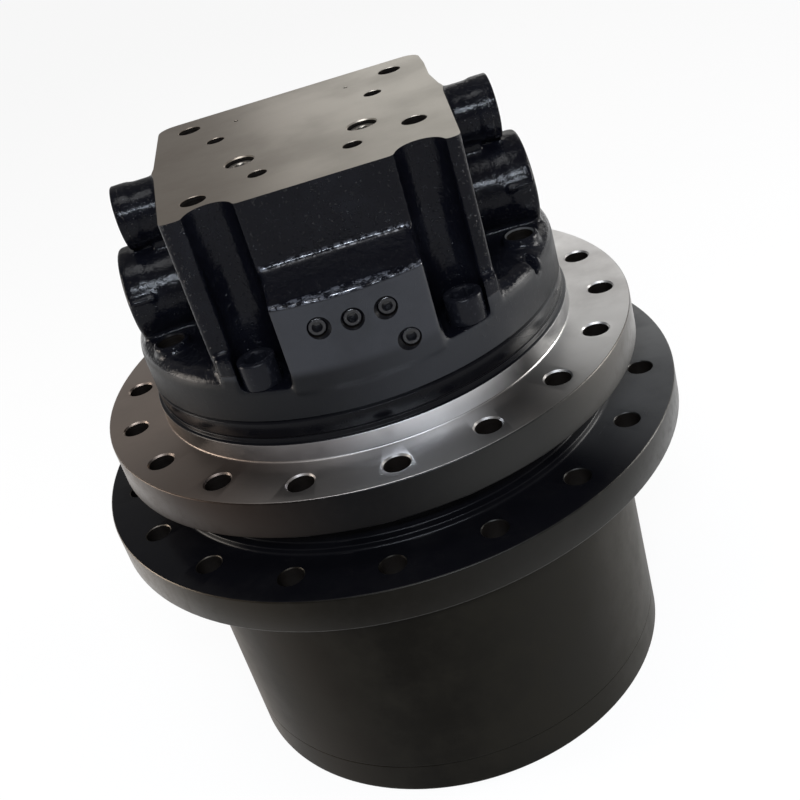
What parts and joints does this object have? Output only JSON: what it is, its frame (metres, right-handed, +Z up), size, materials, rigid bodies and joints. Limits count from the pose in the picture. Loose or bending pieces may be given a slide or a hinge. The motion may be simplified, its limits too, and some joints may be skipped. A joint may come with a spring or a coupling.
{
  "type": "excavator final drive",
  "caption": "Hydraulic travel drive: axial piston motor with rear cover and frame flange, turning a gear housing with sprocket flange through two planetary stages.",
  "frame": {"origin": "on the drive's axis, at the outer face of the end cover, on which it stands", "axes": "+Z up along the axis from the end cover to the machined top face of the rear cover; -Y towards the panel with four small plugs; +X to the right seen from that side"},
  "size_m": [0.445, 0.445, 0.463],
  "materials": {
    "housing_paint": "satin dark brown-black paint",
    "cover_paint": "gloss black paint with a navy tint over a cast surface",
    "machined_steel": "turned bare steel, oiled",
    "gear_steel": "ground gear steel",
    "bearing_steel": "ground and polished",
    "black_fastener": "black oxide and overspray",
    "plug_steel": "zinc yellow-grey plug steel",
    "bronze": "bearing bronze"
  },
  "bodies": {
    "frame_side": {"motor_casing": "machined_steel", "rear_cover": "cover_paint", "bearing_nut": "gear_steel", "main_bearing_cone_1": "bearing_steel", "main_bearing_cone_2": "bearing_steel", "floating_seal_casing": "bearing_steel", "carrier_2": "gear_steel", "shaft_bearing_front": "bearing_steel", "shaft_bearing_rear": "bearing_steel", "swash_plate": "gear_steel", "valve_plate": "bronze", "brake_plate": "gear_steel", "spool_cap_left": "black_fastener", "spool_cap_right": "black_fastener", "relief_valve_left": "black_fastener", "relief_valve_right": "black_fastener", "cover_bolt_1": "black_fastener", "cover_bolt_2": "black_fastener", "cover_bolt_3": "black_fastener", "cover_bolt_4": "black_fastener", "cover_bolt_5": "black_fastener", "cover_bolt_6": "black_fastener", "gauge_plug_1": "black_fastener", "gauge_plug_2": "black_fastener", "gauge_plug_3": "black_fastener", "gauge_plug_4": "black_fastener", "drain_port_plug_1": "black_fastener", "drain_port_plug_2": "black_fastener", "port_plug_1": "plug_steel", "port_plug_2": "plug_steel"},
    "hub": {"gear_housing": "housing_paint", "end_cover": "housing_paint", "oil_plug_1": "plug_steel", "oil_plug_2": "plug_steel", "main_bearing_cup_1": "bearing_steel", "main_bearing_cup_2": "bearing_steel", "floating_seal_housing": "bearing_steel"},
    "input": {"motor_shaft": "gear_steel", "cylinder_block": "gear_steel", "retainer_plate": "gear_steel", "sun_gear_1": "gear_steel", "brake_disc": "bronze", "piston_1": "gear_steel", "piston_2": "gear_steel", "piston_3": "gear_steel", "piston_4": "gear_steel", "piston_5": "gear_steel", "piston_6": "gear_steel", "piston_7": "gear_steel"},
    "carrier_stage_1": {"carrier_1": "gear_steel", "sun_gear_2": "gear_steel"},
    "brake_actuator": {"brake_piston": "gear_steel"},
    "spool": {"counterbalance_spool": "gear_steel"},
    "planet_1_1": {"planet_gear_1_1": "gear_steel"},
    "planet_1_2": {"planet_gear_1_2": "gear_steel"},
    "planet_1_3": {"planet_gear_1_3": "gear_steel"},
    "planet_2_1": {"planet_gear_2_1": "gear_steel"},
    "planet_2_2": {"planet_gear_2_2": "gear_steel"},
    "planet_2_3": {"planet_gear_2_3": "gear_steel"},
    "planet_2_4": {"planet_gear_2_4": "gear_steel"}
  },
  "joints": [
    {"name": "hub_spin", "type": "hinge", "parent": "frame_side", "child": "hub", "pos_m": [0, 0, 0], "axis": [0, 0, 1], "continuous": true},
    {"name": "input_spin", "type": "hinge", "parent": "frame_side", "child": "input", "pos_m": [0, 0, 0.25], "axis": [0, 0, 1], "continuous": true},
    {"name": "carrier_1_spin", "type": "hinge", "parent": "frame_side", "child": "carrier_stage_1", "pos_m": [0, 0, 0.07], "axis": [0, 0, 1], "continuous": true},
    {"name": "planet_1_1_spin", "type": "hinge", "parent": "carrier_stage_1", "child": "planet_1_1", "pos_m": [0.0825, 0, 0.049], "axis": [0, 0, 1], "continuous": true},
    {"name": "planet_1_2_spin", "type": "hinge", "parent": "carrier_stage_1", "child": "planet_1_2", "pos_m": [-0.04125, 0.07145, 0.049], "axis": [0, 0, 1], "continuous": true},
    {"name": "planet_1_3_spin", "type": "hinge", "parent": "carrier_stage_1", "child": "planet_1_3", "pos_m": [-0.04125, -0.07145, 0.049], "axis": [0, 0, 1], "continuous": true},
    {"name": "planet_2_1_spin", "type": "hinge", "parent": "frame_side", "child": "planet_2_1", "pos_m": [0.085, 0, 0.1076], "axis": [0, 0, 1], "continuous": true},
    {"name": "planet_2_2_spin", "type": "hinge", "parent": "frame_side", "child": "planet_2_2", "pos_m": [0, 0.085, 0.1076], "axis": [0, 0, 1], "continuous": true},
    {"name": "planet_2_3_spin", "type": "hinge", "parent": "frame_side", "child": "planet_2_3", "pos_m": [-0.085, 0, 0.1076], "axis": [0, 0, 1], "continuous": true},
    {"name": "planet_2_4_spin", "type": "hinge", "parent": "frame_side", "child": "planet_2_4", "pos_m": [0, -0.085, 0.1076], "axis": [0, 0, 1], "continuous": true},
    {"name": "brake_release", "type": "slide", "parent": "frame_side", "child": "brake_actuator", "axis": [0, 0, 1], "range_m": [0, 0.002], "stiffness_N_per_m": 40000, "springref_m": -0.001},
    {"name": "spool_shift", "type": "slide", "parent": "frame_side", "child": "spool", "axis": [1, 0, 0], "range_m": [-0.008, 0.008], "stiffness_N_per_m": 4000}
  ],
  "couplings": [
    {"joint": "input_spin", "follows": "hub_spin", "ratio": -25.714},
    {"joint": "carrier_1_spin", "follows": "hub_spin", "ratio": -3.8571},
    {"joint": "planet_1_1_spin", "follows": "hub_spin", "ratio": 12.49},
    {"joint": "planet_1_2_spin", "follows": "hub_spin", "ratio": 12.49},
    {"joint": "planet_1_3_spin", "follows": "hub_spin", "ratio": 12.49},
    {"joint": "planet_2_1_spin", "follows": "hub_spin", "ratio": 2.7},
    {"joint": "planet_2_2_spin", "follows": "hub_spin", "ratio": 2.7},
    {"joint": "planet_2_3_spin", "follows": "hub_spin", "ratio": 2.7},
    {"joint": "planet_2_4_spin", "follows": "hub_spin", "ratio": 2.7}
  ]
}
